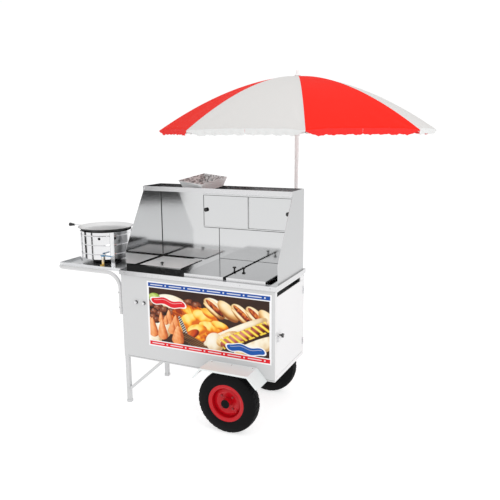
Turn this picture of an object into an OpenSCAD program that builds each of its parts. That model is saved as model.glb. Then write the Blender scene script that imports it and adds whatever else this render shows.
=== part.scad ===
// Push vending cart: sheet-metal cabinet on two pneumatic wheels and two legs,
// hot counter with lidded wells, stainless display case, side shelf with a gas
// fryer, and a folding parasol in a socket behind the cabinet. Millimetres, +Z up.
// Origin: bottom centre of the whole cart's bounding box. +X runs from the shelf
// to the service door, -Y is the customer side.

/* [Cabinet] */
// Cabinet length along X
cab_len = 1050; // [900:10:1200]
// Cabinet depth along Y
cab_dep = 490; // [420:10:600]
// Height of the underside of the cabinet
cab_bot = 323; // [280:1:360]
// Height of the worktop surface
top_z = 895; // [850:1:950]
// Painted sheet thickness
sheet = 2; // [1:0.5:3]
// Worktop overhang on every side
over = 8; // [0:1:20]
// Height of the worktop's folded apron
apron = 27; // [20:1:40]

/* [Wheels] */
// Tyre outside radius
tyre_r = 190; // [170:1:210]
// Half the tyre's width
tyre_hw = 46; // [38:1:50]
// Radius of the rim flange
rim_r = 116; // [100:1:125]
// Axle position along the cabinet
wheel_x = 786; // [700:1:850]
// Tyre centre plane distance out from the cabinet walls
wheel_out = 69; // [60:1:80]
// Axle radius
axle_r = 10; // [8:0.5:12]

/* [Display case] */
// Height of the case's top sheet
case_z = 1402; // [1350:1:1450]
// Height where the front edge starts to lean back
kink_z = 1013; // [980:1:1060]
// Front edge of the case
case_y0 = 44; // [30:1:60]
// Front edge of the case's top
case_y1 = 266; // [240:1:300]
// Back edge of the case
case_y2 = 476; // [460:1:484]

/* [Shelf and fryer] */
// Height of the handle tube's centre line
tube_z = 865; // [840:1:880]
// How far the handle reaches out from the cabinet
tube_len = 528; // [450:1:600]
// Handle tube radius
tube_r = 12.5; // [10:0.5:16]
// Fryer centre, X
fry_x = -272; // [-300:1:-240]
// Fryer centre, Y
fry_y = 222; // [200:1:260]
// Fryer windshield radius
fry_r = 165; // [150:1:180]

/* [Parasol] */
// Pole position, X
pole_x = 962; // [940:1:980]
// Pole position, Y
pole_y = 570; // [560:1:600]
// Radius to the rib tips
rib_R = 860; // [820:1:900]
// Height of the rib tips
tip_z = 1745; // [1700:1:1800]
// Height of the canopy's peak
peak_z = 2080; // [2040:1:2120]
// Pole radius
pole_r = 12; // [10:0.5:16]

/* [Hidden] */
L = cab_len;
W = cab_dep;
g = 0.3;                       // clearance between moving pieces
foot_w = 30;
leg_w = 25;
oct = cos(22.5);
ox = (fry_x - 304 + pole_x + rib_R * oct) / 2;
oy = pole_y;
hinge_x = L + 4.2;             // service door hinge axis
hinge_y = 478;
door_y0 = 17;
door_y1 = 475;
door_z0 = 350;
door_z1 = 829;
hub_z = peak_z - 16;           // rib hinge height
hub_r = 20;                    // rib hinge radius
run_z = 1756;                  // runner hinge height, parasol open
run_r = 24;
strut_l = 430;
strut_off = 7;                 // struts sit beside their ribs
strut_a = 31.7;                // strut elevation, parasol open
steel = [0.82, 0.83, 0.84];
paint = [0.90, 0.90, 0.90];
white = [0.94, 0.94, 0.94];
dark = [0.08, 0.08, 0.08];

module place() translate([-ox, -oy, 0]) children();
module box(a, b) translate(a) cube([b[0] - a[0], b[1] - a[1], b[2] - a[2]]);
module cy(p, r, h) translate(p) rotate([90, 0, 0]) cylinder(r = r, h = h, center = true, $fn = 48);
module cx(p, r, h) translate(p) rotate([0, 90, 0]) cylinder(r = r, h = h, center = true, $fn = 48);
module cz(p, r, h) translate(p) cylinder(r = r, h = h, $fn = 48);

// ---- legs: square tube, brace, splayed foot -----------------------------
module leg(back = false) {
  y = back ? W - sheet - leg_w : sheet;
  x = sheet;
  box([x, y, 18], [x + leg_w, y + leg_w, 891]);
  box([x - 2.5, y - 2.5, 0], [x + leg_w + 2.5, y + leg_w + 2.5, 18]);
  // flat brace from low on the leg up to the underside of the cabinet
  translate([0, y + 3, 0]) rotate([90, 0, 0]) mirror([0, 0, 1])
    linear_extrude(19) polygon([[x + leg_w, 84], [x + leg_w, 108], [265, cab_bot], [293, cab_bot]]);
  cy([x + 13, back ? y + leg_w + 1.5 : y - 1.5, 98], 6, 3);
}
module leg_front() color(paint) place() leg(false);
module leg_back() color(paint) place() leg(true);

// ---- cabinet walls ------------------------------------------------------
module front_panel() color(paint) place() difference() {
  box([0, 0, cab_bot], [L, sheet, 891]);
  for (x = [110, 167]) cy([x, 0, 697], 4, 20);
}
module back_panel() color(paint) place() box([0, W - sheet, cab_bot], [L, W, 891]);
module left_panel() color(paint) place() box([0, sheet, cab_bot], [sheet, W - sheet, 891]);
module floor_panel() color(paint) place() difference() {
  box([sheet, sheet, cab_bot], [L - 6, W - sheet, cab_bot + sheet]);
  for (y = [sheet, W - sheet - leg_w]) box([sheet, y, 300], [sheet + leg_w, y + leg_w, 400]);
}
// service end: a folded surround with the door opening and a vent slot above it
module side_frame() color(white) place() difference() {
  box([L - 6, sheet, cab_bot], [L, W - sheet, 891]);
  box([L - 10, door_y0 - 1, door_z0 - 2], [L + 1, door_y1 + 1, door_z1 + 1]);
  box([L - 10, 28, door_z1], [L + 1, 422, 856]);
}
module cabinet_door() color(white) place() {
  difference() {
    union() {
      box([L - 4, door_y0, door_z0], [L, door_y1, door_z1]);
      for (z = [420, 760]) {
        box([L, 460, z - 24], [L + 1.5, hinge_y - 2, z + 24]);
        for (s = [-24, 8.3]) {
          cz([hinge_x, hinge_y, z + s], 4, 15.7);
          box([L, hinge_y - 4.2, z + s], [L + 1.5, hinge_y, z + s + 15.7]);
        }
      }
    }
    for (z = [420, 760]) {
      cz([hinge_x, hinge_y, z - 30], 1.6, 60);
      box([L - 0.1, hinge_y - 5, z - 8.3], [L + 9, hinge_y + 5, z + 8.3]);
    }
  }
}
// lobed grip and its bright catch plate
module door_catch() color(dark) place() {
  translate([L, 72, 590]) rotate([0, 90, 0]) {
    cylinder(r = 5, h = 14, $fn = 32);
    translate([0, 0, 12]) for (a = [0, 120, 240]) rotate(a) translate([7, 0, 0]) cylinder(r = 6.5, h = 12, $fn = 32);
    translate([0, 0, 12]) cylinder(r = 8, h = 12, $fn = 32);
  }
  translate([L, 36, 575]) rotate([0, 90, 0]) linear_extrude(4)
    for (s = [-13, 13]) translate([s, 0]) circle(r = 9, $fn = 32);
  translate([L, 29, 562]) cube([4, 14, 26]);
  translate([L + 4, 32, 560]) cube([7, 8, 30]);
}
module door_hinges() color(steel) place() for (z = [420, 760]) {
  box([L, hinge_y, z - 8], [L + 1.5, W - 2, z + 8]);
  box([L, hinge_y + 5, z - 24], [L + 1.5, W - 2, z + 24]);
  cz([hinge_x, hinge_y, z - 8], 4, 16);
  cz([hinge_x, hinge_y, z - 24], 1.5, 48);
}

// ---- mudguards: one bent sheet each ------------------------------------
module fender(y0, y1, lip) {
  translate([0, y1, 0]) rotate([90, 0, 0]) linear_extrude(y1 - y0) polygon([
    [575, cab_bot], [630, 394], [938, 394], [1002, cab_bot],
    [999.3, cab_bot], [936.8, 392], [631.2, 392], [577.6, cab_bot]]);
  translate([0, lip, 0]) rotate([90, 0, 0]) linear_extrude(2) polygon([
    [575, cab_bot], [630, 394], [938, 394], [1002, cab_bot],
    [988, cab_bot], [932, 383], [636, 383], [589, cab_bot]]);
}
module fender_front() color(white) place() fender(-140, 0, -138);
module fender_back() color(white) place() fender(W, W + 140, W + 140);

// ---- worktop, wells, lids ----------------------------------------------
module well_cut() {
  box([50, 180, 800], [320, 440, 900]);
  box([470, 34, 800], [1012, 452, 900]);
}
module countertop() color(steel) place() {
  difference() {
    box([-over, -over, top_z - apron], [L + over, W + over, top_z]);
    box([-over + 2, -over + 2, top_z - apron - 1], [L + over - 2, W + over - 2, top_z - 2]);
    well_cut();
  }
  for (x = [26, 831, 1019]) cy([x, -over - 1, top_z - 15], 4.5, 2);
}
module pan(x0, y0, x1, y1, z0) difference() {
  union() {
    box([x0, y0, z0], [x1, y1, top_z - 2]);
    box([x0 - 10, y0 - 10, top_z - 3.5], [x1 + 10, y1 + 10, top_z - 2]);
  }
  box([x0 + 1.5, y0 + 1.5, z0 + 1.5], [x1 - 1.5, y1 - 1.5, top_z]);
}
module pan_left() color(steel) place() pan(50, 180, 320, 440, 770);
module pan_right() color(steel) place() pan(470, 34, 1012, 452, 770);
module mushroom(h = 22, r = 13) {
  cylinder(r = 5, h = h - 8, $fn = 32);
  translate([0, 0, h - 10]) cylinder(r1 = r * 0.7, r2 = r, h = 4, $fn = 40);
  translate([0, 0, h - 6]) cylinder(r1 = r, r2 = r * 0.62, h = 6, $fn = 40);
}
module lid(x0, y0, x1, y1, h, kx, ky) {
  difference() {
    box([x0, y0, top_z + g], [x1, y1, top_z + h]);
    box([x0 + 1.5, y0 + 1.5, top_z - 1], [x1 - 1.5, y1 - 1.5, top_z + h - 1.5]);
  }
  translate([kx, ky, top_z + h]) mushroom();
}
module lid_left() color(steel) place() lid(32, 164, 338, 446, 4, 181, 200);
module lid_middle() color(steel) place() lid(455, 12, 716, 468, 20, 698, 205);
module lid_right() color(steel) place() lid(737, 12, 985, 468, 20, 756, 215);

// ---- gas supply inside the cabinet --------------------------------------
module gas_burner() color([0.25, 0.25, 0.26]) place() {
  for (x = [110, 167]) difference() {
    cy([x, 17, 697], 9, 30);
    cy([x, 2, 697], 3.08, 30);
  }
  cx([330, 38, 697], 8, 480);
  for (b = [[185, 310, 230], [560, 243, 460]]) {
    cy([b[0], (38 + b[1]) / 2, 697], 7, b[1] - 38);
    cz([b[0], b[1], 690], 7, 34);
  }
  cx([185, 310, 724], 13, 230);
  cx([741, 243, 724], 13, 470);
}
module gas_knob(x) translate([x, 0, 697]) rotate([90, 0, 0]) {
  translate([0, 0, -14]) cylinder(r = 3, h = 16, $fn = 32);
  translate([0, 0, g]) cylinder(r = 11, h = 5, $fn = 48);
  translate([0, 0, g]) cylinder(r = 8.5, h = 12, $fn = 48);
  translate([-2.5, -9, 8]) cube([5, 18, 9]);
}
module gas_knob_left() color(steel) place() gas_knob(110);
module gas_knob_right() color(steel) place() gas_knob(167);

// ---- running gear -------------------------------------------------------
module axle() color([0.2, 0.2, 0.2]) place() {
  cy([wheel_x, W / 2, tyre_r], axle_r, W + 2 * wheel_out + 70);
  for (y = [55, W - 55]) translate([wheel_x, y + 3, 0]) rotate([90, 0, 0])
    linear_extrude(6) polygon([[-80, cab_bot], [80, cab_bot], [24, tyre_r - 20], [-24, tyre_r - 20]]);
}
module rim(s) translate([wheel_x, s < 0 ? -wheel_out : W + wheel_out, tyre_r]) rotate([90, 0, 0]) scale([1, 1, -s]) {
  rotate_extrude($fn = 96) polygon([
    [10.05, -34], [24, -34], [24, 4], [40, 8], [66, 20], [80, 14], [92, 8], [92, -38],
    [100, -41.5], [rim_r, -41.5], [rim_r, -38], [104, -37.6], [98, -34], [98, 34], [104, 37.6],
    [rim_r, 38], [rim_r, 41.5], [100, 41.5], [92, 38], [92, 14], [80, 20], [66, 26], [38, 14], [27, 12],
    [27, 40], [10.05, 40]]);
  translate([0, 0, 40]) cylinder(r = 27, h = 10, $fn = 64);
  for (a = [0:90:270]) rotate(a + 45) translate([50, 0, 12]) cylinder(r = 7, h = 14, $fn = 6);
  rotate(-35) translate([84, 0, 14]) rotate([0, -12, 0]) cylinder(r = 3.5, h = 28, $fn = 24);
}
function tyre_pts(t) = concat(
  [for (a = [-90:15:90]) [150 + (tyre_r - 150 - t) * pow(cos(a), 0.62), (tyre_hw - t) * pow(abs(sin(a)), 0.75) * sign(sin(a))]],
  []);
module tyre(s) translate([wheel_x, s < 0 ? -wheel_out : W + wheel_out, tyre_r]) rotate([90, 0, 0])
  rotate_extrude($fn = 96) difference() {
    union() {
      polygon(concat([[99, -33.5], [105, -37.2], [115.8, -37.4]], [[122, -41]], tyre_pts(0), [[122, 41]], [[115.8, 37.4], [105, 37.2], [99, 33.5]]));
    }
    polygon(concat([[90, -24], [118, -30]], tyre_pts(9), [[118, 30], [90, 24]]));
  }
module rim_front() color([0.75, 0.06, 0.1]) place() rim(-1);
module rim_back() color([0.75, 0.06, 0.1]) place() rim(1);
module tyre_front() color(dark) place() tyre(-1);
module tyre_back() color(dark) place() tyre(1);

// ---- display case -------------------------------------------------------
module case_side(x) translate([x, 0, 0]) rotate([90, 0, 90]) linear_extrude(2)
  polygon([[case_y0, top_z], [case_y0, kink_z], [case_y1, case_z - 30], [case_y1, case_z], [case_y2, case_z], [case_y2, top_z]]);
module case_side_left() color(steel) place() case_side(12);
module case_side_right() color(steel) place() case_side(1046);
module case_back() color(steel) place() {
  difference() {
    box([14, 474, top_z], [1046, 476, case_z]);
    box([372, 465, 1133], [1000, 490, 1334]);
  }
  for (z = [1121, 1343]) box([340, 459, z], [1030, 474, z + 2.5]);
  for (y = [459, 465.6]) {
    box([340, y, 1121], [1030, y + 1, 1131]);
    box([340, y, 1336], [1030, y + 1, 1345.5]);
  }
}
module slide_door(x0, x1, y, kx) {
  box([x0, y, 1124], [x1, y + 1.6, 1342.4]);
  translate([kx, y, 1240]) rotate([90, 0, 0]) {
    cylinder(r = 5, h = y - 454, $fn = 32);
    translate([0, 0, y - 455]) cylinder(r1 = 9, r2 = 13.5, h = 5, $fn = 40);
    translate([0, 0, y - 450]) cylinder(r1 = 13.5, r2 = 9, h = 6, $fn = 40);
  }
}
module slide_door_left() color(steel) place() slide_door(350, 672, 461.6, 372);
module slide_door_right() color(steel) place() slide_door(656, 1010, 468.2, 951);
module case_top() color(steel) place() difference() {
  union() {
    box([14, case_y1 - 3, case_z - 30], [1046, case_y2 - 2, case_z]);
    box([12, case_y1 - 3, case_z - 30], [1048, case_y1, case_z]);
  }
  box([15.5, case_y1 - 1.5, case_z - 28.5], [1044.5, case_y2 - 3.5, case_z + 30]);
}
// serving tray with flared walls, leaning from the roof tray's floor over its back edge
module food_tray() color([0.75, 0.76, 0.78]) place() translate([381.5, 294.7, case_z - 28.5 + 0.4])
  rotate([9.12, 0, 0]) translate([0, 117, 0]) rotate(69.65) difference() {
    union() {
      tub(182, 223, 0, 57);
      translate([-115, -115, 56]) cube([230, 230, 1]);
    }
    tub(179, 223.5, 2, 60);
  }
module tub(a, b, z0, z1) hull() {
  translate([-a / 2, -a / 2, z0]) cube([a, a, 0.01]);
  translate([-b / 2, -b / 2, z1 - 0.01]) cube([b, b, 0.01]);
}

// ---- handle, shelf, fryer ----------------------------------------------
module bend(p, r0, rot = [0, 0, 0], a = 90) translate(p) rotate(rot)
  rotate_extrude(angle = a, $fn = 96) translate([r0, 0]) circle(r = tube_r, $fn = 32);
module handle_frame() color(white) place() {
  for (y = [16, W - 16]) {
    cz([-20, y, 600], tube_r, 166);
    bend([-120, y, 766], 99, [90, 0, 0], 90);
    cx([(-120 - tube_len + 60) / 2, y, tube_z], tube_r, tube_len - 60 - 120 + 0.2);
    for (z = [640, 740]) {
      cx([-3.8, y, z], 6, 7.6);
      cx([-33.5, y, z], 7, 5);
    }
  }
  cy([-tube_len, W / 2, tube_z], tube_r, W - 32 - 120 + 0.2);
  bend([-tube_len + 60, 16 + 60, tube_z], 60, [0, 0, 180], 90);
  bend([-tube_len + 60, W - 16 - 60, tube_z], 60, [0, 0, 90], 90);
}
module shelf_tray() color([0.66, 0.67, 0.68]) place() {
  difference() {
    box([-506, 20, tube_z + tube_r], [-16, W - 20, tube_z + tube_r + 20]);
    box([-504.5, 21.5, tube_z + tube_r + 1.5], [-17.5, W - 21.5, tube_z + tube_r + 30]);
  }
  for (y = [20, W - 60]) box([-16, y, tube_z + tube_r], [-8, y + 40, tube_z + tube_r + 14]);
}
shelf_z = tube_z + tube_r + 1.5;
pan_z = 1106;
module fryer_stand() color(steel) place() translate([fry_x, fry_y, 0]) {
  difference() {
    union() {
      translate([0, 0, 928]) cylinder(r = fry_r, h = 177, $fn = 96);
      for (z = [962, 1022, 1082]) translate([0, 0, z]) rotate_extrude($fn = 96)
        polygon([[fry_r - 0.5, -4], [fry_r + 3, 0], [fry_r - 0.5, 4]]);
    }
    translate([0, 0, 920]) cylinder(r = fry_r - 1.5, h = 200, $fn = 96);
    for (a = [292, 327]) rotate(a) translate([fry_r - 10, 0, 1066]) rotate([0, 90, 0]) cylinder(r = 9, h = 20, $fn = 32);
  }
  for (a = [50:90:320]) rotate(a) {
    translate([fry_r + 3.2, -13, shelf_z]) cube([4, 26, pan_z - shelf_z]);
    translate([fry_r - 12, -13, shelf_z]) cube([19.2, 26, 3]);
    translate([fry_r - 22, -13, pan_z - 3]) cube([29.2, 26, 3]);
    for (z = [962, 1082]) translate([fry_r - 1, -5, z - 5]) cube([5, 10, 10]);
  }
}
module fryer_burner() color(dark) place() translate([fry_x, fry_y, 0]) {
  translate([0, 0, shelf_z]) cylinder(r = 95, h = 8, $fn = 64);
  translate([0, 0, shelf_z + 7]) cylinder(r = 26, h = 22, $fn = 48);
  translate([0, 0, shelf_z + 28]) rotate_extrude($fn = 72) translate([85, 0]) circle(r = 13, $fn = 32);
  for (a = [0:60:300]) rotate(a) translate([50, 0, shelf_z + 27]) rotate([0, 90, 0]) cylinder(r = 7, h = 70, center = true, $fn = 24);
  // inlet with its valve, out past the windshield toward the customer side
  translate([102, -60, shelf_z + 18]) rotate([90, 0, 0]) cylinder(r = 8, h = 136, $fn = 32);
  translate([70, -53, shelf_z + 10]) cube([40, 16, 16]);
  translate([102, -188, shelf_z]) cylinder(r = 12, h = 28, $fn = 6);
  difference() {
    translate([102, -176, shelf_z + 14]) cylinder(r = 9, h = 66, $fn = 32);
    translate([102, -176, shelf_z + 60]) cylinder(r = 4.08, h = 30, $fn = 32);
  }
}
module valve_lever() color([0.1, 0.45, 0.65]) place() translate([fry_x + 102, fry_y - 176, shelf_z + 80 + g]) {
  translate([0, 0, -16]) cylinder(r = 4, h = 17, $fn = 32);
  cylinder(r = 11, h = 7, $fn = 48);
  translate([-14, -5, 2]) cube([88, 10, 4]);
}
module fryer_pan() color([0.7, 0.7, 0.7]) place() translate([fry_x, fry_y, pan_z + g]) {
  rotate_extrude($fn = 120) polygon([[0, 0], [152, 0], [177, 19], [181, 20], [181, 21.5], [176, 21.5], [151, 1.8], [0, 1.8]]);
  translate([0, 0, 12]) rotate([0, -90, 0]) translate([0, 0, 171]) cylinder(r = 4, h = 100, $fn = 32);
  translate([0, 0, 12]) rotate([0, -90, 0]) translate([0, 0, 262]) cylinder(r1 = 6, r2 = 13, h = 42, $fn = 40);
}

// ---- parasol ------------------------------------------------------------
module parasol_socket() color(white) place() {
  difference() {
    union() {
      cz([pole_x, pole_y, 412], pole_r + 4, 330);
      for (z = [470, 700]) box([pole_x - 20, W, z - 20], [pole_x + 20, pole_y, z + 20]);
    }
    cz([pole_x, pole_y, 416], pole_r + 0.1, 400);
    for (z = [470, 700]) box([pole_x - 17, W + 3, z - 30], [pole_x + 17, pole_y - 17, z + 30]);
  }
}
module hub(r, z, off, w) for (k = [0:7]) rotate(22.5 + 45 * k) translate([0, -r, z]) {
  for (s = [-1, 1]) translate([off + s * (w / 2 + 1.3) - 1, -3, -4]) cube([2, r - 12, 8]);
  translate([off, 0, 0]) rotate([0, 90, 0]) cylinder(r = 1.2, h = w + 4, center = true, $fn = 24);
}
module parasol_pole() color(white) place() translate([pole_x, pole_y, 0]) {
  difference() {
    translate([0, 0, 416 + g]) cylinder(r = pole_r, h = peak_z + 2 - 416, $fn = 48);
    translate([0, 0, 400]) cylinder(r = pole_r - 1.5, h = hub_z - 430, $fn = 48);
  }
  translate([0, 0, hub_z - 6]) cylinder(r = 15.5, h = 12, $fn = 48);
  hub(hub_r, hub_z, 0, 5);
  // finial
  translate([0, 0, peak_z]) cylinder(r1 = 20, r2 = 12, h = 8, $fn = 48);
  translate([0, 0, peak_z + 7]) cylinder(r1 = 12, r2 = 6, h = 25, $fn = 48);
}
module parasol_runner() color(white) place() translate([pole_x, pole_y, 0]) {
  difference() {
    translate([0, 0, run_z - 38]) cylinder(r = 16.5, h = 44, $fn = 48);
    translate([0, 0, run_z - 40]) cylinder(r = pole_r + 0.1, h = 60, $fn = 48);
  }
  difference() {
    hub(run_r, run_z, strut_off, 3);
    translate([0, 0, run_z - 40]) cylinder(r = pole_r + 0.1, h = 60, $fn = 48);
  }
}
rib_n = 12;
function rib_r(t) = hub_r + (rib_R - 6 - hub_r) * t;
function rib_zz(t) = hub_z - (hub_z - tip_z) * pow(t, 1.75);
module rib(k) translate([pole_x, pole_y, 0]) rotate(-(180 - 22.5 - 45 * k)) rotate([90, 0, 90]) difference() {
  translate([0, 0, -2.5]) linear_extrude(5) polygon(concat(
    [[hub_r - 2.8, hub_z + 2.8], [hub_r + 2.8, hub_z + 2.8]],
    [for (i = [1:rib_n]) [rib_r(i / rib_n), rib_zz(i / rib_n) + 2.5]],
    [for (i = [rib_n:-1:1]) [rib_r(i / rib_n), rib_zz(i / rib_n) - 2.5]],
    [[hub_r + 2.8, hub_z - 2.8], [hub_r - 2.8, hub_z - 2.8]]));
  translate([hub_r, hub_z, -10]) cylinder(r = 1.3, h = 20, $fn = 24);
}
module strut(k) translate([pole_x, pole_y, 0]) rotate(-(180 - 22.5 - 45 * k)) rotate([90, 0, 90])
  translate([run_r, run_z, -strut_off]) rotate(strut_a) difference() {
    translate([0, 0, -1.5]) linear_extrude(3) union() {
      circle(r = 3.2, $fn = 32);
      translate([0, -2]) square([strut_l - 2, 4]);
      translate([strut_l, 0]) circle(r = 3.2, $fn = 32);
    }
    translate([0, 0, -10]) cylinder(r = 1.3, h = 20, $fn = 24);
  }
module rib_1() color(steel) place() rib(0);
module rib_2() color(steel) place() rib(1);
module rib_3() color(steel) place() rib(2);
module rib_4() color(steel) place() rib(3);
module rib_5() color(steel) place() rib(4);
module rib_6() color(steel) place() rib(5);
module rib_7() color(steel) place() rib(6);
module rib_8() color(steel) place() rib(7);
module strut_1() color(steel) place() strut(0);
module strut_2() color(steel) place() strut(1);
module strut_3() color(steel) place() strut(2);
module strut_4() color(steel) place() strut(3);
module strut_5() color(steel) place() strut(4);
module strut_6() color(steel) place() strut(5);
module strut_7() color(steel) place() strut(6);
module strut_8() color(steel) place() strut(7);
// canopy: a thin eight-sided shell over the ribs, with its hanging valance
can_n = 10;
can_r = [for (i = [0:can_n]) 17 + (rib_R - 17) * i / can_n];
function can_z(r) = peak_z - 5 - (peak_z - 5 - tip_z - 8) * pow((r - 17) / (rib_R - 17), 1.75);
can_prof = concat([for (r = can_r) [r, can_z(r)]], [[rib_R, tip_z - 42]], [[rib_R - 1.5, tip_z - 42]],
  [[rib_R - 1.5, tip_z + 5]], [for (i = [can_n - 1:-1:0]) [can_r[i], can_z(can_r[i]) - 1.5]]);
module canopy() color([0.95, 0.15, 0.12]) place() translate([pole_x, pole_y, 0]) rotate(22.5)
  polyhedron(
    points = [for (k = [0:7]) for (p = can_prof) [p[0] * cos(45 * k), p[0] * sin(45 * k), p[1]]],
    faces = [for (k = [0:7]) for (i = [0:len(can_prof) - 1]) let (n = len(can_prof), a = k * n + i,
      b = k * n + (i + 1) % n, c = ((k + 1) % 8) * n + (i + 1) % n, d = ((k + 1) % 8) * n + i) each [[a, b, c], [a, c, d]]]);

leg_front();
leg_back();
front_panel();
back_panel();
left_panel();
floor_panel();
side_frame();
cabinet_door();
door_catch();
door_hinges();
fender_front();
fender_back();
countertop();
pan_left();
pan_right();
gas_burner();
gas_knob_left();
gas_knob_right();
lid_left();
lid_middle();
lid_right();
axle();
rim_front();
rim_back();
tyre_front();
tyre_back();
case_side_left();
case_side_right();
case_back();
case_top();
slide_door_left();
slide_door_right();
food_tray();
handle_frame();
shelf_tray();
fryer_stand();
fryer_burner();
fryer_pan();
valve_lever();
parasol_socket();
parasol_pole();
parasol_runner();
canopy();
rib_1();
rib_2();
rib_3();
rib_4();
rib_5();
rib_6();
rib_7();
rib_8();
strut_1();
strut_2();
strut_3();
strut_4();
strut_5();
strut_6();
strut_7();
strut_8();
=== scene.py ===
import bpy, math
import numpy as np
from mathutils import Vector, Matrix

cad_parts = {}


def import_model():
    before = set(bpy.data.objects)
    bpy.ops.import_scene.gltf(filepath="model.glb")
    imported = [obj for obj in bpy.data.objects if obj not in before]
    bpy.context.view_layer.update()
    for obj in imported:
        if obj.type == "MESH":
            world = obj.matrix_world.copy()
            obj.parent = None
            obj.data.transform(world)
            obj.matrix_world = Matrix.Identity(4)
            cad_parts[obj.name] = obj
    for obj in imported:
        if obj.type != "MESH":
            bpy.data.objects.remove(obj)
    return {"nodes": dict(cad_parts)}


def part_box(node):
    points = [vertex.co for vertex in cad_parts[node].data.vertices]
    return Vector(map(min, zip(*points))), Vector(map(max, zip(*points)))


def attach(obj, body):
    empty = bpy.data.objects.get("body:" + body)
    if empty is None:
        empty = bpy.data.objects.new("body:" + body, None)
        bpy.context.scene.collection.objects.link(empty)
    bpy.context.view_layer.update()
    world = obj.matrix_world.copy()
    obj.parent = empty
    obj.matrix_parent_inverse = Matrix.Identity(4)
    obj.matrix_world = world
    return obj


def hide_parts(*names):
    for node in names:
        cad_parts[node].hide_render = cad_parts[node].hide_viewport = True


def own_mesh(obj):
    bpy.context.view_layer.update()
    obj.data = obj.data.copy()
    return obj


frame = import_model()
N = frame["nodes"]
S = bpy.context.scene
lo = [1e9] * 3; hi = [-1e9] * 3
for n in N:
    a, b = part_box(n)
    for i in range(3):
        lo[i] = min(lo[i], a[i]); hi[i] = max(hi[i], b[i])

OX, OY = 590.2682, 570.0
def W(x, y, z):
    """Cabinet millimetres (front left floor corner) to the row frame in metres."""
    return Vector(((x - OX) / 1000, (y - OY) / 1000, z / 1000))

# ------------------------------------------------------------ materials
def new_mat(name):
    m = bpy.data.materials.new(name)
    m.use_nodes = True
    nt = m.node_tree
    return m, nt, nt.nodes["Principled BSDF"]

def setp(p, **k):
    names = dict(color="Base Color", rough="Roughness", metal="Metallic", ior="IOR", coat="Coat Weight",
                 coat_rough="Coat Roughness", spec="Specular IOR Level", aniso="Anisotropic", sheen="Sheen Weight",
                 sub="Subsurface Weight")
    for a, v in k.items():
        p.inputs[names[a]].default_value = (*v, 1) if a == "color" else v

def coords(nt, scale=(1, 1, 1)):
    tc = nt.nodes.new("ShaderNodeTexCoord")
    mp = nt.nodes.new("ShaderNodeMapping")
    mp.inputs["Scale"].default_value = scale
    nt.links.new(tc.outputs["Object"], mp.inputs["Vector"])
    return mp.outputs["Vector"]

def noise(nt, vec, scale, detail=3, rough=0.5):
    n = nt.nodes.new("ShaderNodeTexNoise")
    n.inputs["Scale"].default_value = scale
    n.inputs["Detail"].default_value = detail
    n.inputs["Roughness"].default_value = rough
    nt.links.new(vec, n.inputs["Vector"])
    return n.outputs["Fac"]

def maprange(nt, src, a, b):
    m = nt.nodes.new("ShaderNodeMapRange")
    m.inputs["To Min"].default_value = a
    m.inputs["To Max"].default_value = b
    nt.links.new(src, m.inputs["Value"])
    return m.outputs["Result"]

def bump(nt, p, src, dist, strength=1.0):
    b = nt.nodes.new("ShaderNodeBump")
    b.inputs["Distance"].default_value = dist
    b.inputs["Strength"].default_value = strength
    nt.links.new(src, b.inputs["Height"])
    nt.links.new(b.outputs["Normal"], p.inputs["Normal"])

def simple(name, color, rough=0.4, metal=0.0, **k):
    m, nt, p = new_mat(name)
    setp(p, color=color, rough=rough, metal=metal, **k)
    return m

def painted(name, color, rough=0.35):
    m, nt, p = new_mat(name)
    setp(p, color=color, rough=rough, coat=0.25, coat_rough=0.15)
    v = coords(nt)
    nt.links.new(maprange(nt, noise(nt, v, 3, 2), rough - 0.05, rough + 0.06), p.inputs["Roughness"])
    bump(nt, p, noise(nt, v, 900, 2), 0.00008, 0.35)
    return m

def steel(name, color, rough, wave=0.0, brush=None):
    """Sheet stainless: fine brushing and the faint long waves of thin sheet."""
    m, nt, p = new_mat(name)
    setp(p, color=color, rough=rough, metal=1.0)
    v = coords(nt, brush or (1, 1, 1))
    f = noise(nt, v, 60 if brush else 8, 3)
    nt.links.new(maprange(nt, f, rough * 0.8, rough * 1.25), p.inputs["Roughness"])
    if wave:
        v2 = coords(nt)
        bump(nt, p, noise(nt, v2, 2.3, 2, 0.4), wave, 1.0)
    return m

M = {}
M["panel"] = painted("panel_paint", (0.63, 0.635, 0.64))
M["white"] = painted("white_paint", (0.80, 0.815, 0.815), 0.3)
M["tube"] = painted("tube_paint", (0.66, 0.66, 0.665), 0.25)
M["pole"] = painted("pole_paint", (0.88, 0.89, 0.89), 0.3)
# Painted shade: a darker grey copy of the white paint, used on faces that turn away from the light (fender undersides,
# door edge faces).
M["painted_shade"] = painted("fender_shade", (0.58, 0.59, 0.59), 0.4)
M["fender"] = painted("fender_paint", (0.80, 0.835, 0.835), 0.3)
M["door"] = painted("door_paint", (0.77, 0.77, 0.775), 0.3)
M["satin"] = steel("stainless_satin", (0.56, 0.565, 0.57), 0.33, 0.0, (1, 1, 14))
M["edge"] = steel("stainless_edge", (0.68, 0.68, 0.69), 0.25)
M["mirror"] = steel("stainless_mirror", (0.66, 0.665, 0.67), 0.045, 0.0007)
M["wall"] = steel("stainless_wall", (0.64, 0.645, 0.65), 0.09, 0.0006)
M["wing"] = steel("stainless_wing", (0.79, 0.795, 0.80), 0.06, 0.0009)
M["counter"] = steel("stainless_counter", (0.38, 0.382, 0.385), 0.13, 0.0012)
M["lid"] = steel("stainless_lid", (0.262, 0.264, 0.267), 0.12, 0.0008)
# Painted light: the left lid is the same stainless as the other lids, given a near-white, almost non-metal colour so it
# reads lit in the umbrella's shadow.
M["lid_l"] = steel("stainless_lid_left_painted_light", (0.93, 0.945, 0.945), 0.5, 0.0004)
for nd in M["lid_l"].node_tree.nodes:
    if nd.type == "BSDF_PRINCIPLED":
        setp(nd, metal=0.1)
M["chrome"] = steel("chrome", (0.76, 0.76, 0.77), 0.11, 0.0009)
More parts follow.
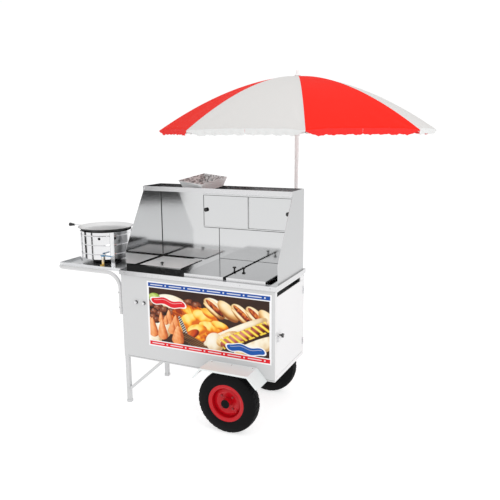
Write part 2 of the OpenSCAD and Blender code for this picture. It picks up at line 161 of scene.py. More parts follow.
# Dark steel for the axle, knob caps and seam strips; the same near-black also serves as painted shade lines at the
# hatch edges and door tracks.
M["dark"] = simple("dark_steel", (0.05, 0.05, 0.05), 0.4, 0.6)
M["black"] = simple("black_plastic", (0.012, 0.012, 0.012), 0.28, 0.0, coat=0.3)
# Near-black cast iron for the burners; the same colour is also painted shade on the inside of the fryer windshield.
M["iron_and_shade"] = simple("cast_iron", (0.02, 0.02, 0.022), 0.6, 0.3)
M["red"] = simple("red_enamel", (0.53, 0.004, 0.011), 0.28, 0.0, coat=0.12, coat_rough=0.1, spec=0.25)
M["nut"] = simple("wheel_nut", (0.30, 0.03, 0.035), 0.3, 0.5)
M["alu"] = steel("aluminium_sheet", (0.80, 0.81, 0.82), 0.5, 0.0, (14, 1, 1))
m, nt, p = new_mat("tray_aluminium")
setp(p, color=(0.86, 0.88, 0.88), rough=0.5, metal=0.1)
v = coords(nt, (1, 1, 1))
vor = nt.nodes.new("ShaderNodeTexVoronoi"); vor.inputs["Scale"].default_value = 130
nt.links.new(v, vor.inputs["Vector"])
bump(nt, p, vor.outputs["Distance"], 0.004, 1.0)
M["foil"] = m
# Painted glints and shade: the tray's pressed pattern is real, but here it is drawn only as dark and light colour
# speckle, with no bump.
m, nt, p = new_mat("tray_foil_painted_glints")
setp(p, color=(0.60, 0.66, 0.66), rough=0.5, metal=0.1)
v = coords(nt, (1.0, 0.35, 1.0))
cr = nt.nodes.new("ShaderNodeValToRGB")
cr.color_ramp.elements[0].position = 0.40; cr.color_ramp.elements[0].color = (0.24, 0.25, 0.25, 1)
cr.color_ramp.elements[1].position = 0.56; cr.color_ramp.elements[1].color = (0.84, 0.87, 0.87, 1)
nt.links.new(noise(nt, v, 95, 2), cr.inputs["Fac"])
nt.links.new(cr.outputs["Color"], p.inputs["Base Color"])
M["foil_in"] = m
M["panface"] = steel("pan_face", (0.80, 0.80, 0.80), 0.42)
M["panrim"] = simple("pan_rim", (0.10, 0.10, 0.10), 0.45, 0.8)
M["brass"] = simple("brass", (0.75, 0.52, 0.16), 0.25, 1.0)
M["blue"] = simple("blue_lever", (0.03, 0.22, 0.42), 0.3, 0.0, coat=0.4)
M["rubber"] = None
m, nt, p = new_mat("tyre_rubber")
setp(p, color=(0.0035, 0.0035, 0.004), rough=0.5, spec=0.10)
v = coords(nt)
nt.links.new(maprange(nt, noise(nt, v, 40, 3), 0.42, 0.62), p.inputs["Roughness"])
bump(nt, p, noise(nt, v, 600, 2), 0.0002, 0.4)
M["rubber"] = m

def fabric(name, color, through=0.25, body=None, back=None):
    """Woven parasol cloth: a fine weave, and some light comes through."""
    m, nt, p = new_mat(name)
    setp(p, color=color, rough=0.82, sheen=0.03, spec=0.08)
    v = coords(nt)
    f = noise(nt, v, 700, 2)
    v2 = coords(nt)
    wr = noise(nt, v2, 5.5, 3, 0.55)
    add = nt.nodes.new("ShaderNodeMath"); add.operation = "MULTIPLY_ADD"
    nt.links.new(wr, add.inputs[0]); add.inputs[1].default_value = 14.0
    nt.links.new(f, add.inputs[2])
    bump(nt, p, add.outputs[0], 0.0004, 0.6)
    if back:
        g = nt.nodes.new("ShaderNodeNewGeometry")
        side = nt.nodes.new("ShaderNodeMix"); side.data_type = "RGBA"
        side.inputs[6].default_value = (*back, 1); side.inputs[7].default_value = (*color, 1)
        nt.links.new(g.outputs["Backfacing"], side.inputs[0])
        nt.links.new(side.outputs[2], p.inputs["Base Color"])
    tr = nt.nodes.new("ShaderNodeBsdfTranslucent")
    tr.inputs["Color"].default_value = (*(body or tuple(c * 0.6 for c in color)), 1)
    mx = nt.nodes.new("ShaderNodeMixShader")
    mx.inputs["Fac"].default_value = through
    nt.links.new(p.outputs["BSDF"], mx.inputs[1])
    nt.links.new(tr.outputs["BSDF"], mx.inputs[2])
    nt.links.new(mx.outputs["Shader"], nt.nodes["Material Output"].inputs["Surface"])
    return m
M["cloth_red"] = fabric("cloth_red", (0.93, 0.022, 0.012), 0.08, None, (0.72, 0.30, 0.28))
M["cloth_white"] = fabric("cloth_white", (0.81, 0.80, 0.785))
M["hem_red"] = fabric("hem_red", (0.86, 0.03, 0.025), 0.2, (0.9, 0.10, 0.10))
M["hem_white"] = fabric("hem_white", (0.78, 0.79, 0.785), 0.15, (0.80, 0.85, 0.85))

# ------------------------------------------------------------ CAD looks
def paint(node, base, *rules):
    """Sets a node's material, then face by face where a rule (centre in cabinet mm, normal) holds."""
    o = N[node]
    me = o.data
    me.materials.clear()
    me.materials.append(M[base])
    idx = {base: 0}
    for name, _ in rules:
        if name not in idx:
            idx[name] = len(idx)
            me.materials.append(M[name])
    for f in me.polygons:
        c = f.center
        q = (c[0] * 1000 + OX, c[1] * 1000 + OY, c[2] * 1000)
        f.material_index = 0
        for name, rule in rules:
            if rule(q, f.normal):
                f.material_index = idx[name]

for n in ("leg_front", "leg_back", "front_panel", "back_panel", "left_panel", "floor_panel"):
    paint(n, "panel")
for n in ("fender_front", "fender_back"):
    # Painted shade: fender faces turned left or downward get the darker grey instead of the fender white.
    paint(n, "fender", ("painted_shade", lambda q, nn: nn[0] < -0.3 or nn[2] < -0.2))
paint("side_frame", "door")
# Painted shade: the door's edge faces get the darker grey so they read as a shaded gap line.
paint("cabinet_door", "door", ("painted_shade", lambda q, n: abs(n[0]) < 0.3 and abs(q[2] - 590) > 60), ("chrome", lambda q, n: q[0] > 1050.2 and abs(q[2] - 590) > 100))
paint("door_hinges", "chrome")
paint("door_catch", "black", ("chrome", lambda q, n: q[1] < 50))
paint("countertop", "counter", ("edge", lambda q, n: q[2] < 893 and n[2] < 0.5))
paint("pan_left", "mirror"); paint("pan_right", "mirror")
paint("gas_burner", "iron_and_shade")
for n in ("gas_knob_left", "gas_knob_right"):
    paint(n, "chrome", ("dark", lambda q, n: q[1] > -5.6))
# Painted light: the left lid's top uses the brightened lid colour.
paint("lid_left", "lid_l", ("counter", lambda q, n: n[2] < 0.5), ("black", lambda q, n: q[2] > 899.05))
for n in ("lid_middle", "lid_right"):
    paint(n, "lid", ("black", lambda q, n: q[2] > 915.05), ("edge", lambda q, n: abs(n[2]) < 0.5 and q[2] < 915.05))
paint("axle", "dark")
for n in ("rim_front", "rim_back"):
    yc = -69 if n == "rim_front" else 559
    s = -1 if n == "rim_front" else 1
    def hub(q, nn, yc=yc, s=s):
        r = math.hypot(q[0] - 786, q[2] - 190)
        return r < 27.6 and (q[1] - yc) * s > 38
    def nuts(q, nn, yc=yc, s=s):
        a = math.atan2(q[2] - 190, q[0] - 786)
        return any(math.hypot(q[0] - 786 - 50 * math.cos(b), q[2] - 190 - 50 * math.sin(b)) < 8.2 for b in (math.pi / 4 * j for j in (1, 3, 5, 7))) and (q[1] - yc) * s > 20
    paint(n, "red", ("rubber", hub), ("nut", nuts))
for n, s in (("case_side_left", -1), ("case_side_right", 1)):
    paint(n, "edge", ("satin", lambda q, nn, s=s: nn[0] * s > 0.9), ("wing" if s < 0 else "mirror", lambda q, nn, s=s: nn[0] * s < -0.9))
paint("case_back", "wall", ("satin", lambda q, n: n[1] > 0.9))
paint("case_top", "edge", ("mirror", lambda q, n: n[2] > 0.9 and q[2] < 1395), ("counter", lambda q, n: q[2] < 1400 and abs(n[2]) < .5 and 265 < q[1] < 473), ("wall", lambda q, n: n[2] < -0.9))
for n in ("slide_door_left", "slide_door_right"):
    # Painted light: door edge faces turned to +x near the meeting line get white paint instead of steel, lightening the
    # shaded gap between the doors.
    paint(n, "wall", ("black", lambda q, n: q[1] < 461 and abs(q[2] - 1240) < 16), ("white", lambda q, n: n[0] > 0.9 and 600 < q[0] < 900))
# The inside of the tray gets the speckled foil colour, with its painted glints and shade.
paint("food_tray", "foil", ("foil_in", lambda q, n: (q[0] - 381.5) * n[0] + (q[1] - 410) * n[1] < -1 or (n[2] > 0.7 and q[2] < 1425)))
paint("handle_frame", "tube")
paint("shelf_tray", "alu", ("white", lambda q, n: q[0] > -15.9))
# Painted shade: the inner wall of the chrome windshield gets the near-black iron colour so its holes read dark.
paint("fryer_stand", "chrome", ("iron_and_shade", lambda q, n: math.hypot(q[0] + 272, q[1] - 222) < 164.2 and (q[0] + 272) * n[0] + (q[1] - 222) * n[1] < 0 and 927 < q[2] < 1106))
paint("fryer_burner", "iron_and_shade", ("brass", lambda q, n: q[1] < 62 and q[2] < 925), ("chrome", lambda q, n: q[1] < 62 and q[2] >= 925))
paint("fryer_pan", "panface", ("panrim", lambda q, n: n[2] < 0.3 and math.hypot(q[0] + 272, q[1] - 222) > 150 and (q[0] + 272) * n[0] + (q[1] - 222) * n[1] > 0), ("chrome", lambda q, n: q[0] < -272 - 183), ("black", lambda q, n: q[0] < -272 - 258))
paint("valve_lever", "blue", ("chrome", lambda q, n: q[2] < 959))
paint("parasol_socket", "tube"); paint("parasol_pole", "pole"); paint("parasol_runner", "white")
for k in range(1, 9):
    paint(f"rib_{k}", "chrome"); paint(f"strut_{k}", "chrome")

def smooth_cad(node, angle=35):
    """Round CAD faces shade smoothly and creases stay sharp; points stay where they are."""
    me = N[node].data
    for f in me.polygons:
        f.use_smooth = True
    try:
        me.set_sharp_from_angle(angle=math.radians(angle))
    except Exception:
        pass
for n in N:
    smooth_cad(n)

# ------------------------------------------------------------ mesh helpers
def obj(name, verts, faces, mats, smooth=True, index=None):
    me = bpy.data.meshes.new(name)
    me.from_pydata([tuple(v) for v in verts], [], [tuple(f) for f in faces])
    me.update()
    for mm in (mats if isinstance(mats, (list, tuple)) else [mats]):
        me.materials.append(mm)
    if index is not None:
        me.polygons.foreach_set("material_index", np.array(index, np.int32))
    me.polygons.foreach_set("use_smooth", [smooth] * len(me.polygons))
    o = bpy.data.objects.new(name, me)
    S.collection.objects.link(o)
    return o

def grid_faces(nu, nv, close_u=False):
    f = []
    for i in range(nu if close_u else nu - 1):
        for j in range(nv - 1):
            a = i * nv + j
            b = ((i + 1) % nu) * nv + j
            f.append((a, b, b + 1, a + 1))
    return f

def disc_bolt(name, c, axis, r, h, mat, body="cart", hexed=False):
    """A small domed screw head."""
    seg = 6 if hexed else 20
    ax = Vector(axis).normalized()
    t = ax.orthogonal().normalized(); b = ax.cross(t)
    prof = [(r, 0), (r, h * 0.5), (r * 0.75, h * 0.85), (r * 0.3, h), (0.001, h)]
    vs = []
    for i in range(seg):
        a = 2 * math.pi * i / seg
        for pr, ph in prof:
            vs.append(W(*c) + (t * math.cos(a) + b * math.sin(a)) * pr / 1000 + ax * ph / 1000)
    o = obj(name, vs, grid_faces(seg, len(prof), True), mat)
    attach(o, body)
    return o

# ------------------------------------------------------------ tyres with tread
def tyre(node, yc, body):
    nseg = 240
    R, HW = 190.0, 46.0
    prof = []
    for v in np.linspace(-1, 1, 45):
        # carcass outline: crown, shoulder, sidewall, bead
        a = v * 1.0
        prof.append(a)
    pts = []
    vals = np.linspace(-1, 1, 61)
    for i in range(nseg):
        th = 2 * math.pi * i / nseg
        for v in vals:
            s = abs(v)
            # s: 0 crown .. 0.5 shoulder .. 1 bead
            if s < 0.42:
                w = s / 0.42
                y = 34.5 * w; r = R - 5.5 * w ** 2.6
            else:
                w = (s - 0.42) / 0.58
                ang = w * math.pi * 0.62
                y = 34.5 + 11.2 * math.sin(min(ang * 1.15, math.pi)) * (1 - 0.15 * w) + (-1.2) * w
                r = (R - 5.5) - 70 * w ** 1.12
                y = 34.5 + 11.0 * math.sin(math.pi * min(1, w * 0.62) ) if w < 0.9 else 34.5 + 11.0 * math.sin(math.pi * 0.558) * (1 - (w - 0.9) * 3.0)
            # tread: lugs across the crown, with a zigzag groove down the middle
            if s < 0.44:
                ph = th * 36 / (2 * math.pi)
                zig = 0.055 * (1 if (ph * 2) % 1 < 0.5 else -1) * (1 - abs(((ph * 2) % 0.5) / 0.25 - 1) * 0)
                tri = abs(((ph % 1) * 2) - 1) * 2 - 1
                groove = 0.0
                if abs(v - 0.05 * tri) < 0.022: groove = 1
                if abs(abs(v) - 0.21 - 0.03 * tri) < 0.018: groove = 1
                lug = (ph + 0.5 * (v > 0) + abs(v) * 0.6) % 1
                if s > 0.06 and lug < 0.20: groove = 1
                r -= 4.0 * groove
            elif s < 0.52:
                ph = th * 36 / (2 * math.pi)
                lug = (ph + 0.5 * (v > 0) + abs(v) * 0.6) % 1
                if lug < 0.20: r -= 2.2 * (0.52 - s) / 0.08; y -= 1.5 * (0.52 - s) / 0.08
            # sidewall rings
            if 0.60 < s < 0.62 or 0.84 < s < 0.86:
                y += 0.9
            pts.append(W(786 + r * math.cos(th), yc + math.copysign(y, v), 190 + r * math.sin(th)))
    o = obj(node + "_tread", pts, grid_faces(nseg, len(vals), True), M["rubber"])
    o.data.set_sharp_from_angle(angle=math.radians(40))
    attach(o, body)
    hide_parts(node)
tyre("tyre_front", -69, "wheel_front")
tyre("tyre_back", 559, "wheel_back")

# ------------------------------------------------------------ parasol cloth
PX, PY, RR, TIPZ, PEAK = 962.0, 570.0, 860.0, 1745.0, 2080.0
rng = np.random.default_rng(7)
def can_z(r):
    t = max(0.0, (r - 17) / (RR - 17))
    return PEAK - 4.2 - (PEAK - 5 - TIPZ - 8) * t ** 1.75
def petal(k):
    """Cloth of one rib: half of the gore on each side of it, with its hanging hem."""
    a = math.radians(22.5 + 45 * k)
    d = np.array([math.sin(a), -math.cos(a), 0.0]); tg = np.array([math.cos(a), math.sin(a), 0.0])
    nu, nt_, nval = 73, 48, 9
    us = np.linspace(-1, 1, nu)
    pts = []
    idx = []
    c45, s45 = math.cos(math.radians(45)), math.sin(math.radians(45))
    for i, u in enumerate(us):
        s = abs(u)                      # 0 on the rib, 1 half way to the next one
        gore = k if u > 0 else k - 1
        g = gore % 8 + (u / 2 if u > 0 else 1 + u / 2)   # runs on along the whole hem
        side = s if u > 0 else -s
        bow = 1 - (1 - s) ** 2
        tmax = 1 - 0.026 * bow
        for j in range(nt_):
            t = (j / (nt_ - 1)) ** 0.9 * tmax
            r = 17 + (RR - 17) * t
            ax = r + (r * c45 - r) * (s / 2)
            tx = r * s45 * (s / 2)
            z = can_z(r)
            sag = 7.0 * math.sin(math.pi * s / 2) ** 2 * t * (1 - 0.3 * t)
            # pull creases that fan out from the rib's tip, and soft waves near the hem
            near = math.hypot((1 - t) * 2.6, s * 1.15)
            fan = 1.5 * math.sin(9 * math.atan2(s, 1.02 - t) + 1.3 * k) * math.exp(-(near / 0.55) ** 2) * min(1, s * 9)
            wave = 0.9 * math.sin(g * 2 * math.pi * 6 + 0.6) * t ** 7 * min(1, s * 6)
            P = np.array([PX, PY, 0]) + d * ax + tg * math.copysign(tx, u) + np.array([0, 0, z - sag + fan + wave])
            pts.append(P)
        hem = pts[-1]
        # the hem strip: short where it is sewn to the rib's tip, then ruffled with a cut edge
        away = s * 329.0
        length = 5 + 27 * (1 - math.exp(-(away / 34.0) ** 1.6)) + 2.2 * math.sin(g * 2 * math.pi * 9.0 + 1) + 1.4 * math.sin(g * 2 * math.pi * 21.3) + 0.7 * math.sin(g * 2 * math.pi * 47.7)
        for j in range(1, nval + 1):
            w = j / nval
            ph = g * 2 * math.pi * 13
            out = (3.0 * math.sin(ph) + 1.5 * math.sin(ph * 2.3 + 1.0)) * w * min(1, s * 8)
            P = hem + d * (out * 0.92 - 2.0 * w + 2.2 * math.sin(math.pi * w)) + np.array([0, 0, -length * w])
            pts.append(P)
    nv = nt_ + nval
    faces = grid_faces(nu, nv)
    for i in range(nu - 1):
        gore = k if us[i] + us[i + 1] > 0 else k - 1
        c = 0 if gore % 2 == 0 else 1
        idx += [c] * (nt_ - 1) + [c + 2] * nval
    V = [W(*p) for p in pts]
    o = obj(f"cloth_{k + 1}", V, faces, [M["cloth_red"], M["cloth_white"], M["hem_red"], M["hem_white"]], True, idx)
    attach(o, f"rib_{k + 1}")
    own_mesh(o)
    return o, sum(f.area for f in o.data.polygons)
cloth = [petal(k) for k in range(8)]
for i, (o, area) in enumerate(cloth):
    if i == 0:
        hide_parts("canopy")

# ------------------------------------------------------------ front sign, painted by formula
def sign():
    x0, x1, z0, z1 = 193.0, 1029.0, 425.0, 845.0
    nx, nz = 600, 272
    X = np.linspace(0, 1, nx)[:, None] * np.ones((1, nz)); Z = np.ones((nx, 1)) * np.linspace(0, 1, nz)[None, :]
    w, h = x1 - x0, z1 - z0
    x = X * w; z = Z * h                      # mm from the lower left corner
    def lin(c):
        c = np.asarray(c, float) / 255
        return np.where(c <= 0.04045, c / 12.92, ((c + 0.055) / 1.055) ** 2.4)
    col = np.ones((nx, nz, 3)) * lin((246, 246, 247))
    def n2(fx, fz, seed, k=8):
        r = np.random.default_rng(seed)
        out = np.zeros_like(x)
        for i in range(k):
            ax, az, ph = r.normal(size=3) * [fx, fz, 10]
            out += np.sin(x * ax + z * az + ph)
        return out / math.sqrt(k)
    def put(mask, c):
        nonlocal col
        m = np.clip(mask, 0, 1)[..., None]
        col = col * (1 - m) + np.asarray(c) * m
    zt, zb = h - 40, 40
    inside = ((x > 13) & (x < w - 13) & (z > zb) & (z < zt)).astype(float)
    def shade(t, ramp):
        """Colours along a ramp of sRGB stops."""
        t = np.clip(t, 0, 1) * (len(ramp) - 1)
        st = np.array([lin(c) for c in ramp])
        i = np.minimum(t.astype(int), len(ramp) - 2)
        f = (t - i)[..., None]
        return st[i] * (1 - f) + st[i + 1] * f
    def uv(cx, cz, rx, rz, rot=0.0):
        a = math.radians(rot)
        return ((x - cx) * math.cos(a) + (z - cz) * math.sin(a)) / rx, (-(x - cx) * math.sin(a) + (z - cz) * math.cos(a)) / rz
    def blob(cx, cz, rx, rz, rot, ramp, tex=0.15, seed=1, freq=0.12, pw=2.0, gloss=0.0, clip=None):
        u, v = uv(cx, cz, rx, rz, rot)
        d = np.abs(u) ** pw + np.abs(v) ** pw
        m = np.clip((1 - d) / 0.10, 0, 1) * inside
        if clip is not None:
            m = m * clip
        t = 0.92 - 0.62 * ((u + 0.28) ** 2 + (v - 0.38) ** 2) + tex * n2(freq, freq, seed)
        put(m, shade(t, ramp))
        if gloss:
            put(np.clip(1 - ((u + 0.3) ** 2 + (v - 0.45) ** 2) / 0.07, 0, 1) * gloss * m, lin((255, 244, 220)))
    def drop(cx, cz, r, hgt, ramp, lean=0.0, seed=1):
        """A teardrop: round below, drawn out to a point above."""
        q = np.clip((z - cz) / hgt, -1, 1)
        wd = np.where(z < cz, np.sqrt(np.clip(1 - ((z - cz) / (r * 0.8)) ** 2, 0, 1)), np.clip(1 - q, 0, 1) ** 0.72 * (1 + 0.15 * q))
        uu = (x - cx - lean * np.clip(z - cz, 0, None)) / (r * np.maximum(wd, 1e-3))
        m = np.clip((1 - np.abs(uu)) / 0.12, 0, 1) * (wd > 0.02) * (z < cz + hgt) * inside
        t = 0.80 - 0.42 * (uu + 0.35) ** 2 + 0.12 * q + 0.06 * n2(0.15, 0.15, seed)
        put(m, shade(t, ramp))
    BALL = [(22, 8, 5), (64, 26, 14), (118, 56, 32), (168, 96, 62)]
    DROP = [(120, 42, 12), (196, 92, 38), (238, 146, 82), (255, 196, 140)]
    PAST = [(150, 48, 6), (222, 104, 14), (250, 164, 34), (255, 214, 92)]
    BUN = [(150, 84, 34), (214, 156, 88), (246, 214, 156), (255, 240, 208)]
    CREAM = [(206, 170, 120), (236, 214, 176), (250, 240, 216), (255, 250, 238)]
    MEAT = [(60, 12, 6), (128, 38, 18), (186, 78, 34), (226, 140, 60)]
    SAUS = [(84, 18, 16), (140, 48, 40), (190, 96, 84), (226, 150, 136)]
    # dark background above left, cream cloth below and in the middle
    put(inside, shade(0.35 + 0.12 * n2(0.02, 0.03, 4), [(26, 14, 10), (60, 34, 22), (96, 60, 38)]))
    blob(170, 296, 118, 52, -6, CREAM, 0.1, 5)
    blob(52, 318, 46, 30, 0, [(70, 96, 20), (146, 176, 60), (206, 222, 130)], 0.15, 6)
    blob(500, 300, 100, 40, -30, CREAM, 0.1, 7)
    blob(30, 60, 70, 60, 0, CREAM, 0.1, 8)
    blob(110, 130, 60, 70, 0, CREAM, 0.1, 8)
    # brown croquettes
    for i, (a, b, rx, rz) in enumerate([(30, 268, 34, 26), (82, 254, 38, 27), (48, 226, 30, 24), (124, 244, 36, 26), (90, 214, 34, 25), (40, 190, 30, 24), (300, 312, 44, 24), (352, 300, 40, 26), (268, 290, 42, 24), (330, 272, 44, 25), (282, 262, 42, 24), (212, 262, 40, 25), (176, 236, 36, 27), (224, 226, 40, 27), (262, 232, 30, 24), (66, 176, 28, 22), (118, 188, 30, 24)]):
        blob(a, b, rx, rz, (i * 37) % 40 - 20, BALL, 0.16, 20 + i, 0.14, gloss=0.18)
    # golden gratin in the middle
    u, v = uv(352, 186, 175, 108, -6)
    edge = np.abs(u + 0.18 * v) ** 2.2 + np.abs(v) ** 2.0 + 0.10 * n2(0.06, 0.06, 61)
    put(np.clip((1 - edge) / 0.06, 0, 1) * inside, shade(0.62 - 0.35 * edge + 0.26 * n2(0.05, 0.06, 62, 12) + 0.16 * n2(0.16, 0.16, 63, 12), PAST))
    for i, (a, b, rx, rz, ro) in enumerate([(300, 206, 66, 40, 15), (392, 232, 74, 40, -20), (440, 176, 80, 34, -8), (350, 150, 70, 34, 12), (430, 260, 50, 26, -30), (505, 196, 60, 24, -12)]):
        blob(a, b, rx, rz, ro, PAST[1:] + [(255, 232, 140)], 0.22, 70 + i, 0.10)
    blob(356, 88, 78, 34, 14, PAST, 0.25, 76, 0.12)
    blob(318, 118, 52, 26, 30, [(120, 24, 8), (196, 60, 16), (236, 120, 30)], 0.2, 77)
    # the rim of a basket: dark and light strands, then sticks below
    u, v = uv(262, 132, 98, 14, -67)
    m = np.clip((1 - np.abs(u) ** 4 - v * v) / 0.15, 0, 1) * inside
    put(m, shade(0.5 + 0.55 * np.sin(u * 46 + v * 2.0), [(24, 16, 12), (96, 84, 72), (226, 222, 212)]))
    u, v = uv(330, 66, 130, 30, -20)
    m = np.clip((1 - np.abs(u) ** 4 - v * v) / 0.15, 0, 1) * inside
    put(m, shade(0.45 + 0.3 * np.sin(v * 17) + 0.15 * n2(0.02, 0.2, 64), [(40, 22, 12), (110, 70, 40), (178, 130, 84)]))
    # teardrop fritters, back row first
    for i, (a, b, r, hh, le) in enumerate([(96, 176, 20, 54, 0.0), (156, 184, 30, 66, -0.05), (128, 168, 22, 44, 0.05), (14, 150, 30, 40, 0.1), (196, 150, 34, 72, 0.08), (40, 92, 38, 96, -0.1), (172, 120, 30, 60, 0.1), (232, 92, 26, 60, -0.1), (106, 84, 40, 100, -0.05), (214, 66, 46, 92, 0.02)]):
        drop(a, b, r, hh, DROP, le, 40 + i)
    # filled rolls, upper right
    for i, (a, b, ro) in enumerate([(470, 296, -38), (560, 290, -40), (650, 280, -40), (742, 274, -42), (820, 262, -44)]):
        blob(a, b, 86, 40, ro, BUN, 0.06, 90 + i)
        if i != 1 and i != 4:
            blob(a + 2, b + 4, 76, 17, ro, MEAT, 0.30, 95 + i, 0.2)
            blob(a - 16, b - 16, 74, 12, ro, BUN, 0.06, 99 + i)
    # the big roll in front: far half, sausage, mustard, near half
    ro = 27
    blob(602, 168, 236, 32, ro, CREAM, 0.12, 120, 0.08, pw=2.6)
    blob(470, 86, 64, 62, 20, CREAM, 0.12, 124, 0.08)
    blob(560, 120, 90, 44, ro, BUN, 0.1, 125)
    blob(664, 154, 178, 36, ro, SAUS, 0.08, 121, 0.06, pw=2.6)
    a = math.radians(ro)
    u = (x - 664) * math.cos(a) + (z - 156) * math.sin(a); v = -(x - 664) * math.sin(a) + (z - 156) * math.cos(a)
    per = 40.0
    tri = np.sin(2 * math.pi * (u + 0.55 * v) / per)
    band = np.clip(1 - np.abs((((u + 0.62 * v) / per) % 1) * 2 - 1) / 0.56, 0, 1)
    on = (np.abs(u) < 166) & (np.abs(v) < 33)
    put(np.clip(band * 4, 0, 1) * on * inside, shade(0.35 + 0.75 * band + 0.2 * (v / 33), [(138, 84, 4), (206, 152, 14), (240, 202, 44), (255, 232, 110)]))
    loop = np.clip(1 - np.abs(np.abs(v) - 30) / 6.0, 0, 1) * (np.sin(2 * math.pi * (u + 0.62 * v) / (2 * per) + (v > 0) * math.pi) > 0) * (np.abs(u) < 166)
    put(np.clip(loop * 2.5, 0, 1) * inside, shade(0.5 + 0.4 * loop, [(170, 112, 8), (232, 188, 34), (250, 222, 90)]))
    blob(742, 92, 170, 44, ro, CREAM, 0.16, 122, 0.09, pw=2.4)
    blob(690, 60, 90, 22, 12, BUN, 0.1, 126)
    # plain ribbons where a menu board has its headings
    def ribbon(cx, cz, L, T, ro, c, edge, wob):
        u, v = uv(cx, cz, L, T, ro)
        vv = v + wob * np.sin(u * 6)
        d = np.abs(u) ** 6 + vv * vv
        put(np.clip((1.55 - d) / 0.12, 0, 1) * inside, lin(edge))
        put(np.clip((1.0 - d) / 0.10, 0, 1) * inside, lin(c))
        put(np.clip((0.10 - np.abs(vv - 0.35)) / 0.05, 0, 1) * (np.abs(u) < 0.82) * inside * 0.45, lin((255, 255, 255)))
    ribbon(150, 296, 122, 21, -5, (224, 24, 40), (252, 246, 240), 0.30)
    ribbon(672, 72, 124, 22, -3, (14, 84, 168), (250, 250, 252), 0.28)
    # colour bands, broken up by plain white dashes
    put(((z > h - 34) & (z < h - 8) & (x > 9) & (x < w - 9)).astype(float), lin((14, 74, 158)))
    put(((z < 34) & (z > 8) & (x > 9) & (x < w - 9)).astype(float), lin((226, 22, 34)))
    for zc in (h - 21, 21):
        dots = (np.abs(((x - 18) % 132) - 52) < 44) & (np.abs(z - zc) < 2.6) | (np.abs(((x - 18) % 132) - 116) < 5) & (np.abs(z - zc) < 4.5)
        put((dots & (x > 18) & (x < w - 18)).astype(float) * 0.8, lin((240, 242, 246)))
    vs = [W(x0 + x[i, j], -0.7, z0 + z[i, j]) for i in range(nx) for j in range(nz)]
    fc = grid_faces(nx, nz)
    m, nt, p = new_mat("printed_vinyl")
    at = nt.nodes.new("ShaderNodeAttribute"); at.attribute_name = "Col"
    nt.links.new(at.outputs["Color"], p.inputs["Base Color"])
    setp(p, rough=0.42, spec=0.25)
    o = obj("front_sign", vs, fc, m, True)
    ca = o.data.color_attributes.new("Col", "FLOAT_COLOR", "POINT")
    flat = np.clip(col, 0, 1).reshape(-1, 3)
    buf = np.ones((len(flat), 4), np.float32); buf[:, :3] = flat
    ca.data.foreach_set("color", buf.ravel())
    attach(o, "cart")
sign()

# ------------------------------------------------------------ small parts
def bar(name, a, b, mat, body="cart"):
    """A thin straight strip between two corners, in cabinet millimetres."""
    vs = [W(x, y, z) for x in (a[0], b[0]) for y in (a[1], b[1]) for z in (a[2], b[2])]
    fs = [(0, 1, 3, 2), (4, 6, 7, 5), (0, 4, 5, 1), (2, 3, 7, 6), (0, 2, 6, 4), (1, 5, 7, 3)]
    o = obj(name, vs, fs, mat, False)
    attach(o, body)
    return o
bar("corner_seam", (14.1, 471.6, 897), (16.6, 474.0, 1371), M["dark"])
bar("wall_seam", (457, 473.2, 897), (461, 474.0, 1120), M["dark"])
# Painted shade: thin near-black strips along the hatch doors' outer edges stand for the shaded gaps there.
bar("hatch_left_edge_shade", (350.2, 461.1, 1131.5), (354.2, 461.6, 1335.5), M["dark"], "hatch_left")
bar("hatch_right_edge_shade", (1005.8, 467.7, 1131.5), (1009.8, 468.2, 1335.5), M["dark"], "hatch_right")
hp = [(668.0, 463.3), (672.1, 461.4), (678.6, 467.9), (668.0, 467.9)]
hs = obj("hatch_meeting_strip", [W(x, y, z) for z in (1131.2, 1335.8) for x, y in hp], [(3, 2, 1, 0), (4, 5, 6, 7)] + [(i, (i + 1) % 4, (i + 1) % 4 + 4, i + 4) for i in range(4)], M["white"], False)
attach(hs, "hatch_left")
bar("skirt_line", (26, -0.6, 331), (1050, 0.0, 332.4), simple("fold_shadow", (0.16, 0.16, 0.16), 0.6))
# Painted shade: thin near-black strips along the door tracks stand for the shadow lines under and over the doors.
bar("track_low_shade_line", (352, 458.4, 1121.2), (1012, 459.0, 1124.8), M["dark"])
bar("track_high_shade_line", (352, 458.4, 1335.2), (1012, 459.0, 1338.0), M["dark"])
for i, (x, y, z) in enumerate([(-20, 16, 640), (-20, 16, 740)]):
    disc_bolt(f"handle_bolt_{i}", (x, y - 12.5, z), (0, -1, 0), 5, 3, M["chrome"])
for i, (x, z) in enumerate([(22, 1387), (1036, 1387)]):
    disc_bolt(f"roof_screw_{i}", (x, 263, z), (0, -1, 0), 3.5, 1.8, M["chrome"])
disc_bolt("side_screw", (1050, 478, 848), (1, 0, 0), 6, 3, M["chrome"])
for i, x in enumerate((650, 784, 918)):
    disc_bolt(f"fender_bolt_{i}", (x, -20, 394), (0, 0, 1), 5, 2.5, M["chrome"])

# ------------------------------------------------------------ stage, light, camera
paper, nt, p = new_mat("floor_paper")
setp(p, color=(0.62, 0.62, 0.62), rough=0.9, spec=0.05)
p.inputs["Emission Color"].default_value = (1, 1, 1, 1)
p.inputs["Emission Strength"].default_value = 0.62
floor = obj("floor", [(-30, -30, 0), (30, -30, 0), (30, 30, 0), (-30, 30, 0)], [(0, 1, 2, 3)], paper, False)
world = bpy.data.worlds.new("studio"); S.world = world
world.use_nodes = True
wt = world.node_tree
bg = wt.nodes["Background"]
bg.inputs["Color"].default_value = (1, 1, 1, 1)
lp = wt.nodes.new("ShaderNodeLightPath")
mr = wt.nodes.new("ShaderNodeMapRange")
mr.inputs["To Min"].default_value = 0.74
mr.inputs["To Max"].default_value = 1.02
mxm = wt.nodes.new("ShaderNodeMath"); mxm.operation = "MAXIMUM"
wt.links.new(lp.outputs["Is Camera Ray"], mxm.inputs[0])
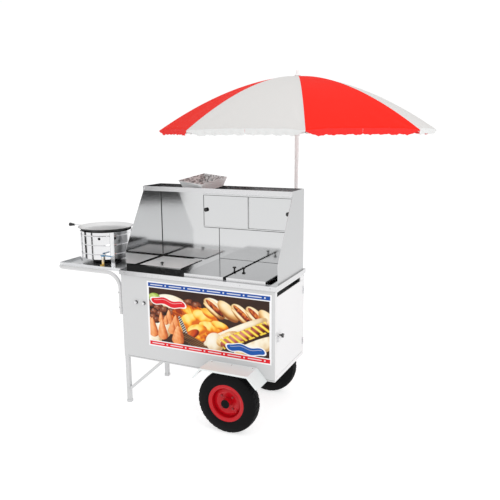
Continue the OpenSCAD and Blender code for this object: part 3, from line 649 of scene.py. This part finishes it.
gl = wt.nodes.new("ShaderNodeMath"); gl.operation = "MULTIPLY"; gl.inputs[1].default_value = 0.72
wt.links.new(lp.outputs["Is Glossy Ray"], gl.inputs[0])
wt.links.new(gl.outputs[0], mxm.inputs[1])
wt.links.new(mxm.outputs[0], mr.inputs["Value"])
wt.links.new(mr.outputs["Result"], bg.inputs["Strength"])
def area(name, loc, target, size, power):
    l = bpy.data.lights.new(name, "AREA"); l.energy = power; l.size = size
    o = bpy.data.objects.new(name, l); S.collection.objects.link(o)
    o.location = loc
    o.rotation_mode = "QUATERNION"
    o.rotation_quaternion = (Vector(target) - Vector(loc)).to_track_quat("-Z", "Y")
    return o
area("key", (3.8, -2.0, 3.4), (0.2, -0.3, 0.9), 2.2, 49)
area("fill", (-1.6, -4.6, 3.0), (0, 0, 0.9), 2.5, 14)
area("top", (0.55, -1.1, 4.6), (0.37, -0.1, 1.9), 1.4, 12)
dark = simple("flag_cloth", (0.03, 0.03, 0.03), 0.9)
grey = simple("flag_grey", (0.25, 0.25, 0.25), 0.9)
def card(name, a, b, c, d, mat=None):
    o = obj(name, [a, b, c, d], [(0, 1, 2, 3)], mat or dark, False)
    o.visible_camera = False
    o.visible_diffuse = False
    o.visible_shadow = False
    return o
cards = [card("flag_right", (1.25, -5.0, 0.66), (3.2, -3.70, 0.66), (3.2, -3.70, 4.6), (1.25, -5.0, 4.6)),
         card("flag_side", (-2.6, -1.35, 0.25), (-2.75, -0.85, 0.25), (-2.75, -0.85, 2.3), (-2.6, -1.35, 2.3)),
         card("flag_back", (-2.5, 1.3, 0.25), (-1.9, 1.9, 0.25), (-1.9, 1.9, 2.3), (-2.5, 1.3, 2.3)),
         card("flag_front", (-2.05, -2.25, 0.25), (-1.80, -2.4, 0.25), (-1.80, -2.4, 2.0), (-2.05, -2.25, 2.0))]

cam = bpy.data.cameras.new("camera"); co = bpy.data.objects.new("camera", cam)
S.collection.objects.link(co); S.camera = co
cam.sensor_width = 36
cam.lens = 591.375 * 36 / 500
cam.shift_x = (250 - 251.29) / 500
cam.shift_y = (252.11 - 250) / 500
r = Vector((0.9127101, 0.40859183, -0.00360521)); u = Vector((-0.07934595, 0.18588393, 0.97936274)); f = Vector((-0.40082977, 0.8935882, -0.20207825))
mat = Matrix(((r.x, u.x, -f.x), (r.y, u.y, -f.y), (r.z, u.z, -f.z))).to_4x4()
mat.translation = W(2237.54, -2973.99, 1755.14)
co.matrix_world = mat
S.view_settings.view_transform = "Standard"
